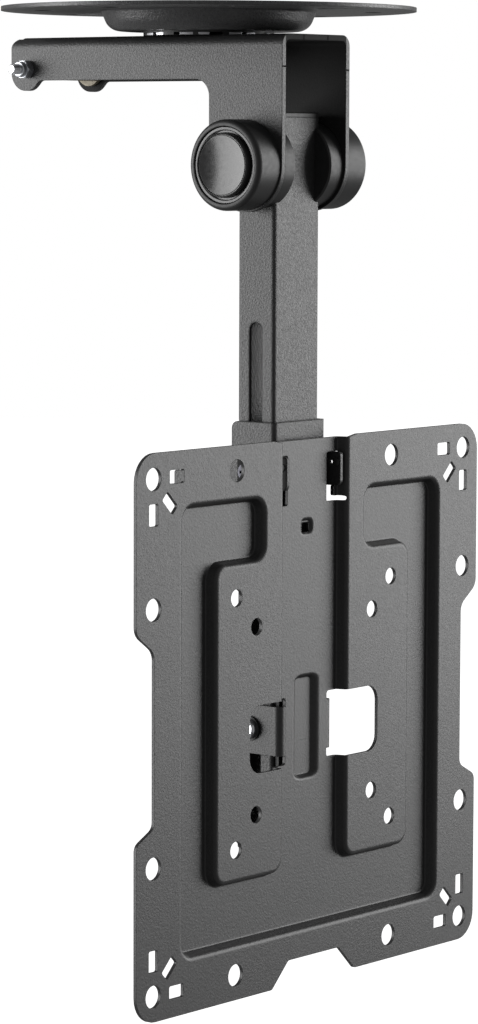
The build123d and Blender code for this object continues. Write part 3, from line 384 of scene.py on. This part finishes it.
# Recess at front level: its outer edges, the channel up its middle, the raised pads beside the channel
# with the necks that join them to the plate's top, and its two roundings
RECESS = {
    "half_width": 84.4, "high": 90.0, "low": -90.0, "channel": 22.4, "neck": 30.5, "above_plate": 125.0,
    "pad_out": 60.7, "pad_high": 61.6, "pad_low": -61.0, "wide": 8.0, "tight": 4.0,
}
RECESS_WALL = (1.4, 4.5, 1.9, 0.6)
RECESS_INSET = 1.6
RECESS_FLOOR = RECESS_WALL[1]
# Pocket and dimple as middle, (width, height, rounding), wall, and the wall's run upwards for 1 sideways
POCKET = ((0.0, -7.0), (14.8, 42.0, 4.6), (2.2, 2.3, 3.0, 0.6), 0.6)
DIMPLE = ((-0.2, 74.1), (7.6, 6.4, 2.4), (0.9, 1.2, 1.4, 0.5), 1.0)
# Hole in the dimple as middle, width, height and rounding
DIMPLE_HOLE = ((0.0, 73.7), 4.6, 4.0, 0.6)
SMALLEST_ROUNDING = 0.4
SCREEN_HOLES = (
    (100.0, 100.0, 4.5), (100.0, 50.0, 4.5), (50.0, 100.0, 4.5), (50.0, 50.0, 3.5), (37.5, 37.5, 3.5),
)
# Corner cut-outs as middle, width, height, rounding and turn in degrees
CORNER_CUTS = (
    ((86.2, 100.2), 8.6, 5.3, 0.8, 0), ((100.0, 86.2), 5.3, 8.6, 0.8, 0), ((90.4, 90.2), 8.5, 4.6, 0.8, 45),
)
WINDOW = ((13.3, 6.0, 1.4), (41.6, 6.0, 6.5), (41.6, -21.2, 6.5), (13.3, -21.2, 1.4))
LUG_OPENING = (
    (12.5, 103.25, 0.9), (19.8, 103.25, 0.9), (19.8, 89.5, 0.9), (17.0, 89.5, 0.9),
    (17.0, 85.2, 0.9), (20.8, 85.2, 0.9), (20.8, 83.2, 0.9), (12.5, 83.2, 0.9),
)
# Tabs, which bend back from the windows' inner edges and end at a depth, with their hole as
# (depth, z, radius)
TAB = {"start": 13.3, "bend_start": 14.4, "bend": 2.5, "end": 25.8, "low": -17.5, "high": 2.4, "corner": 4.0}
TAB_HOLE = (19.7, -7.3, 2.55)
FOLD_OVERRUN = 1.0
# Steps round a fold, a corner, a circle and a bend, and the flat stretch that stays beside a bend
FOLD_STEPS = 8
CORNER_STEPS = 8
CIRCLE_STEPS = 36
BEND_STEPS = 5
SUPPORT = 0.25
MERGE_DISTANCE = 1e-6
SHORTEST_SQUARED = 1e-12
SHEET_SHARP_ANGLE = math.radians(35)


def rounded_outline(corners):
    """Closed outline from corners given as (x, y, rounding), with an arc at each rounded corner."""
    points = []
    for i, (x, y, radius) in enumerate(corners):
        here = Vector((x, y))
        if radius <= 0:
            points.append(here)
            continue
        before = (Vector(corners[i - 1][:2]) - here).normalized()
        after = (Vector(corners[(i + 1) % len(corners)][:2]) - here).normalized()
        half = before.angle(after) / 2
        middle = here + (before + after).normalized() * (radius / math.sin(half))
        first = here + before * (radius / math.tan(half)) - middle
        sweep = first.angle_signed(here + after * (radius / math.tan(half)) - middle)
        for step in range(CORNER_STEPS + 1):
            points.append(middle + Matrix.Rotation(-sweep * step / CORNER_STEPS, 2) @ first)
    return points


def both_halves(right):
    """Closed outline's corners from those of its right half, listed from top to bottom."""
    return list(right) + [(-x, y, r) for x, y, r in reversed(right)]


def rectangle(middle, width, height, radius, turn=0.0):
    """Rounded rectangle about a middle, turned by degrees."""
    half_w, half_h = width / 2, height / 2
    corners = [(x * half_w, y * half_h, radius) for x, y in ((-1, -1), (1, -1), (1, 1), (-1, 1))]
    return [Vector(middle) + Matrix.Rotation(math.radians(turn), 2) @ p for p in rounded_outline(corners)]


def circle(middle, radius):
    """Circle about a middle."""
    angles = [2 * math.pi * i / CIRCLE_STEPS for i in range(CIRCLE_STEPS)]
    return [Vector(middle) + Vector((math.cos(a), math.sin(a))) * radius for a in angles]


def inside(point, outline):
    """Whether a point is inside a closed outline."""
    hit = False
    for i, a in enumerate(outline):
        b = outline[i - 1]
        if (a.y > point.y) != (b.y > point.y) and point.x < (b.x - a.x) * (point.y - a.y) / (b.y - a.y) + a.x:
            hit = not hit
    return hit


def depth_inside(point, outline):
    """Distance from a point to a closed outline, below zero outside it."""
    nearest = math.inf
    for i, a in enumerate(outline):
        way = outline[i - 1] - a
        along = max(0.0, min(1.0, (point - a).dot(way) / max(way.length_squared, SHORTEST_SQUARED)))
        nearest = min(nearest, (a + way * along - point).length)
    return nearest if inside(point, outline) else -nearest


def wall_profile(run, depth, top_bend, foot_bend):
    """Pressed wall as (distance inside its outline, depth), with a rounded bend at its top and foot."""
    lean = math.atan2(depth, run)
    top_run, foot_run = top_bend * math.tan(lean / 2), foot_bend * math.tan(lean / 2)
    angles = [lean * step / BEND_STEPS for step in range(BEND_STEPS + 1)]
    top = [(top_bend * math.sin(a) - top_run, top_bend * (1 - math.cos(a))) for a in angles]
    foot = [
        (run + foot_run - foot_bend * math.sin(a), depth - foot_bend * (1 - math.cos(a)))
        for a in reversed(angles)
    ]
    return [(top[0][0] - SUPPORT, 0.0), *top, *foot, (foot[-1][0] + SUPPORT, depth)]


def read_profile(profile, distance):
    """Depth at a distance inside the outline."""
    if distance <= profile[0][0]:
        return 0.0
    for (near, shallow), (far, deep) in zip(profile, profile[1:]):
        if distance <= far:
            return shallow + (deep - shallow) * (distance - near) / (far - near)
    return profile[-1][1]


def recess_outline(grow):
    """Outline of the recess at front level, made larger by grow, with the roundings that go with it."""
    channel, neck, outer = RECESS["channel"] + grow, RECESS["neck"] - grow, RECESS["half_width"] + grow
    pad_out, pad_low, pad_high = RECESS["pad_out"] - grow, RECESS["pad_low"] + grow, RECESS["pad_high"] - grow
    high, low = RECESS["high"] + grow, RECESS["low"] - grow
    wide, tight = RECESS["wide"] + grow, RECESS["tight"] - grow
    return rounded_outline(both_halves([
        (channel, RECESS["above_plate"], 0.0), (channel, pad_low, tight), (pad_out, pad_low, tight),
        (pad_out, pad_high, tight), (neck, pad_high, wide), (neck, high, wide), (outer, high, wide),
        (outer, low, wide),
    ]))


def flat_sheet(outline, holes, rings):
    """Triangles of a sheet cut to an outline with holes, with more edges along the rings."""
    points, edges = [], []
    for loop in [outline, *holes, *rings]:
        first = len(points)
        points += loop
        edges += [(first + i, first + (i + 1) % len(loop)) for i in range(len(loop))]
    verts, _, faces, *_ = geometry.delaunay_2d_cdt(points, edges, [], 0, MERGE_DISTANCE)
    kept = []
    for face in faces:
        middle = sum((verts[i] for i in face), Vector((0, 0))) / 3
        if inside(middle, outline) and not any(inside(middle, hole) for hole in holes):
            kept.append(tuple(face))
    return verts, kept


def make_sheet(name, sheets, thickness):
    """Object from flat sheets and the places of their points, thickened to the back, with smooth bends."""
    mesh = bpy.data.meshes.new(name)
    build = bmesh.new()
    for verts, faces, place in sheets:
        corners = [build.verts.new(Vector(place(v)) / MM_PER_METRE) for v in verts]
        for face in faces:
            build.faces.new([corners[i] for i in face])
    bmesh.ops.delete(build, geom=[v for v in build.verts if not v.link_faces], context="VERTS")
    for face in build.faces:
        face.smooth = True
    build.to_mesh(mesh)
    build.free()
    piece = bpy.data.objects.new(name, mesh)
    bpy.context.scene.collection.objects.link(piece)
    thick = piece.modifiers.new("thickness", "SOLIDIFY")
    thick.thickness = thickness / MM_PER_METRE
    thick.offset = -1.0
    apply_modifiers(piece)
    piece.data.set_sharp_from_angle(angle=SHEET_SHARP_ANGLE)
    return piece


def apply_modifiers(piece):
    """Turns the piece's modifiers into its mesh."""
    evaluated = piece.evaluated_get(bpy.context.evaluated_depsgraph_get())
    mesh = bpy.data.meshes.new_from_object(evaluated)
    piece.modifiers.clear()
    piece.data = mesh


def plate_pressings():
    """The pressings as (middle, squeeze, outline, profile), and the rings that their bends need."""
    recess_wall = wall_profile(*RECESS_WALL)
    pressings = [((0.0, 0.0), 1.0, recess_outline(-RECESS_INSET), recess_wall)]
    rings = [recess_outline(-RECESS_INSET - distance) for distance, _ in recess_wall]
    for middle, (width, height, rounding), wall, squeeze in (POCKET, DIMPLE):
        profile = wall_profile(*wall)
        tall = height / squeeze
        pressings.append((middle, squeeze, rectangle((0.0, 0.0), width, tall, rounding), profile))
        for distance, _ in profile:
            size = (width - 2 * distance, tall - 2 * distance)
            ring = rectangle((0.0, 0.0), *size, max(rounding - distance, SMALLEST_ROUNDING))
            rings.append([Vector((middle[0] + point.x, middle[1] + point.y * squeeze)) for point in ring])
    return pressings, rings


def plate_holes():
    """Outlines of the plate's holes, cut-outs, windows and lug openings."""
    holes = [rectangle(*DIMPLE_HOLE)]
    for sign_x in (-1, 1):
        for sign_z in (-1, 1):
            holes += [circle((sign_x * x, sign_z * z), r) for x, z, r in SCREEN_HOLES]
            for (x, z), width, height, rounding, turn in CORNER_CUTS:
                place = (sign_x * x, sign_z * z)
                holes.append(rectangle(place, width, height, rounding, turn * sign_x * sign_z))
        for corners in (WINDOW, LUG_OPENING):
            holes.append(rounded_outline([(sign_x * x, z, r) for x, z, r in corners]))
    return holes


def pressed_face():
    """The plate without its tabs, flat, and the place of each of its points when pressed."""
    pressings, rings = plate_pressings()
    verts, faces = flat_sheet(rounded_outline(both_halves(PLATE_OUTLINE)), plate_holes(), rings)

    def place(point):
        depth = 0.0
        for (x, z), squeeze, outline, profile in pressings:
            own = Vector((point.x - x, (point.y - z) / squeeze))
            depth += read_profile(profile, depth_inside(own, outline))
        return (PLATE_X + point.x, PLATE_Y + depth, PLATE_Z + point.y)

    return verts, faces, place


def folded_tab(sign_x):
    """One tab, flat, and the place of each of its points when bent back."""
    bend, bend_start, start = TAB["bend"], TAB["bend_start"], TAB["start"]
    low, high, corner = TAB["low"], TAB["high"], TAB["corner"]
    arc_length = bend * math.pi / 2
    bend_end = bend_start + arc_length
    past_depth = bend_end - RECESS_FLOOR - bend
    end = past_depth + TAB["end"]
    tab = rounded_outline([(start, low, 0.0), (end, low, corner), (end, high, corner), (start, high, 0.0)])
    folds = [bend_start + arc_length * step / FOLD_STEPS for step in range(FOLD_STEPS + 1)]
    foot, top = low - FOLD_OVERRUN, high + FOLD_OVERRUN
    lines = [[Vector((fold, foot)), Vector((fold, top))] for fold in [*folds, bend_end + SUPPORT]]
    hole_depth, hole_z, hole_r = TAB_HOLE
    verts, faces = flat_sheet(tab, [circle((past_depth + hole_depth, hole_z), hole_r)], lines)
    if sign_x < 0:
        faces = [tuple(reversed(face)) for face in faces]

    def place(point):
        bent = max(0.0, min(arc_length, point.x - bend_start)) / bend
        x = min(point.x, bend_start) + bend * math.sin(bent)
        y = RECESS_FLOOR + bend * (1 - math.cos(bent)) + max(0.0, point.x - bend_end)
        return (PLATE_X + sign_x * x, PLATE_Y + y, PLATE_Z + point.y)

    return verts, faces, place


def add_screen_plate():
    """The pressed screen plate with soft bends round its recess, pocket and dimple, and its two tabs."""
    plate = make_sheet("screen_plate_sheet", [pressed_face(), folded_tab(-1), folded_tab(1)], SHEET_T)
    plate.data.materials.append(MATERIALS["plate_coat"])
    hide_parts("screen_plate")
    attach(plate, "carriage")


# Smaller pieces, in millimetres. Turned profiles are (x, radius), from the inner end to the outer.
PIECE_SHARP_ANGLE = math.radians(32)
HINGE_PLACE = (-36.7, -63.1)
BUTTON_PROFILE = (
    (31.8, 8.45), (32.8, 8.45), (32.8, 15.15), (33.9, 15.15), (34.2, 14.9), (34.2, 14.0), (34.0, 13.7),
    (33.2, 13.6), (33.2, 12.9), (35.8, 12.8), (36.2, 12.6), (36.4, 12.3), (36.3, 12.0), (35.9, 11.9),
    (35.9, 11.7), (36.2, 11.6),
)
BUTTON_STEPS = 72
DISH_R = 11.6
DISH_RIM_X = 36.2
DISH_DROP = 1.2
DISH_STEPS = 10
# Threads as name, body, start, direction, radius, length and pitch
THREADS = (
    ("latch_thread", "arm", (-27.3, 79.8, -24.5), (-1, 0, 0), 2.0, 3.4, 0.7),
    ("swivel_thread", "ceiling", (0.0, 0.0, -26.9), (0, 0, -1), 5.0, 1.2, 0.6),
    ("lock_thread", "carriage", (22.95, -36.7, -288.8), (1, 0, 0), 2.5, 1.1, 0.5),
    ("upper_thread", "carriage", (24.15, -36.7, -185.2), (1, 0, 0), 2.5, 1.1, 0.5),
)
THREAD_STEPS = 24
# The thread's ridge: half its width and its height for a pitch of 1, and how far in it roots
RIDGE_HALF_WIDTH = 0.42
RIDGE_HEIGHT = 0.3
RIDGE_ROOT = -0.05
# Lands of the bearing ring, with the angles in degrees at which each pair starts and runs
FACET_RING = {"inner": 25.4, "outer": 26.6, "low": -11.45, "high": -10.5}
FACET_STARTS = [150.5 + 43.5 * i for i in range(8)]
FACET_PAIR = ((0.0, 12.0), (17.0, 26.0))
FACET_STEPS = 4
# Joint lines on the arm's front edge as their two ends (x, z)
EDGE_MARKS = (
    ((-8.0, -13.7), (-8.0, -11.6)), ((7.4, -13.7), (7.4, -11.6)), ((-21.5, -24.4), (-19.3, -24.4)),
    ((19.3, -25.3), (21.5, -25.3)),
)
EDGE_MARK_Y = -55.38
MARK_WIDTH = 0.6
MARK_DEPTH = 0.2
RIVET_PLACE = (-53.5, -182.6)
RIVET_PROFILE = ((16.2, 1.3), (16.4, 1.66), (18.15, 1.66), (18.5, 1.3))
RIVET_STEPS = 24


def finish_piece(name, build, material, body):
    """Turns a built mesh into a piece of the scene that rides on a body."""
    for face in build.faces:
        face.smooth = True
    bmesh.ops.recalc_face_normals(build, faces=build.faces)
    mesh = bpy.data.meshes.new(name)
    build.to_mesh(mesh)
    build.free()
    mesh.set_sharp_from_angle(angle=PIECE_SHARP_ANGLE)
    mesh.materials.append(MATERIALS[material])
    piece = bpy.data.objects.new(name, mesh)
    bpy.context.scene.collection.objects.link(piece)
    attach(piece, body)
    return piece


def add_rows(build, rows):
    """Quads between rows of as many points each, round each row."""
    grid = [[build.verts.new(Vector(point) / MM_PER_METRE) for point in row] for row in rows]
    for here, there in zip(grid, grid[1:]):
        for i in range(len(here)):
            j = (i + 1) % len(here)
            build.faces.new((here[i], here[j], there[j], there[i]))
    return grid


def add_solid(build, rows):
    """Quads between rows of points, with one face over the first row and one over the last."""
    grid = add_rows(build, rows)
    build.faces.new(grid[0])
    build.faces.new(grid[-1])


def turned(profile, outward, middle, steps):
    """Rows of points of a profile turned about a line along x through the middle (y, z)."""
    angles = [2 * math.pi * i / steps for i in range(steps)]
    middle_y, middle_z = middle
    return [
        [(outward * x, middle_y + r * math.cos(a), middle_z + r * math.sin(a)) for a in angles]
        for x, r in profile
    ]


def add_cap_buttons():
    """Dished button in the middle of each hinge cap, with a lip and a groove round its edge."""
    ball = (DISH_R**2 + DISH_DROP**2) / (2 * DISH_DROP)
    dish_middle_x = DISH_RIM_X - DISH_DROP
    profile = list(BUTTON_PROFILE)
    for step in range(1, DISH_STEPS):
        r = DISH_R * (1 - step / DISH_STEPS)
        profile.append((dish_middle_x + ball - math.sqrt(ball**2 - r**2), r))
    for side, outward in (("left", -1), ("right", 1)):
        build = bmesh.new()
        grid = add_rows(build, turned(profile, outward, HINGE_PLACE, BUTTON_STEPS))
        for row, x in ((grid[0], BUTTON_PROFILE[0][0]), (grid[-1], dish_middle_x)):
            middle = build.verts.new(Vector((outward * x, *HINGE_PLACE)) / MM_PER_METRE)
            for i, vert in enumerate(row):
                build.faces.new((vert, row[(i + 1) % len(row)], middle))
        piece = finish_piece(f"hinge_button_{side}", build, "button_plastic", "arm")
        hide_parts(f"cap_button_{side}")


def add_threads():
    """Screw thread on the bare end of each bolt that shows one."""
    for name, body, start, way, radius, length, pitch in THREADS:
        way = Vector(way)
        across = way.orthogonal().normalized()
        up = way.cross(across)
        ridge = ((-RIDGE_HALF_WIDTH, RIDGE_ROOT), (0.0, RIDGE_HEIGHT * pitch), (RIDGE_HALF_WIDTH, RIDGE_ROOT))
        rows = []
        for step in range(round(THREAD_STEPS * length / pitch) + 1):
            angle = 2 * math.pi * step / THREAD_STEPS
            out = across * math.cos(angle) + up * math.sin(angle)
            along = pitch * step / THREAD_STEPS
            rows.append([Vector(start) + way * (along + pitch * a) + out * (radius + b) for a, b in ridge])
        build = bmesh.new()
        add_solid(build, rows)
        finish_piece(name, build, "bright_zinc", body)


def add_swivel_facets():
    """Bright steel lands of the swivel's bearing ring, between the dish and the arm."""
    build = bmesh.new()
    low, high = Vector((0, 0, FACET_RING["low"])), Vector((0, 0, FACET_RING["high"]))
    for start in FACET_STARTS:
        for first, last in FACET_PAIR:
            rows = []
            for step in range(FACET_STEPS + 1):
                angle = math.radians(start + first + (last - first) * step / FACET_STEPS)
                way = Vector((math.cos(angle), math.sin(angle), 0))
                near, far = way * FACET_RING["inner"], way * FACET_RING["outer"]
                rows.append([near + low, far + low, far + high, near + high])
            add_solid(build, rows)
    finish_piece("swivel_facets", build, "facet_steel", "ceiling")


def add_edge_marks():
    """Fine joint lines across the arm's front edge."""
    build = bmesh.new()
    deep = Vector((0, MARK_DEPTH, 0))
    for (x0, z0), (x1, z1) in EDGE_MARKS:
        way = Vector((x1 - x0, 0, z1 - z0)).normalized()
        side = Vector((way.z, 0, -way.x)) * MARK_WIDTH / 2
        ends = (Vector((x0, EDGE_MARK_Y, z0)), Vector((x1, EDGE_MARK_Y, z1)))
        add_solid(build, [[end - side, end + side, end + side + deep, end - side + deep] for end in ends])
    finish_piece("arm_edge_marks", build, "gap_black", "arm")


def add_lug_rivets():
    """Small plastic rivet in the larger hole of each of the collar's lugs."""
    for side, outward in (("left", -1), ("right", 1)):
        build = bmesh.new()
        add_solid(build, turned(RIVET_PROFILE, outward, RIVET_PLACE, RIVET_STEPS))
        finish_piece(f"lug_rivet_{side}", build, "black_plastic", "carriage")


def dress_nodes():
    """Gives every carried-over piece its material."""
    for material_name, names in NODES_OF_MATERIAL.items():
        for name in names:
            mesh = nodes[name].data
            mesh.materials.clear()
            mesh.materials.append(MATERIALS[material_name])


add_camera()
add_studio()
dress_nodes()
add_screen_plate()
add_cap_buttons()
add_threads()
add_swivel_facets()
add_edge_marks()
add_lug_rivets()
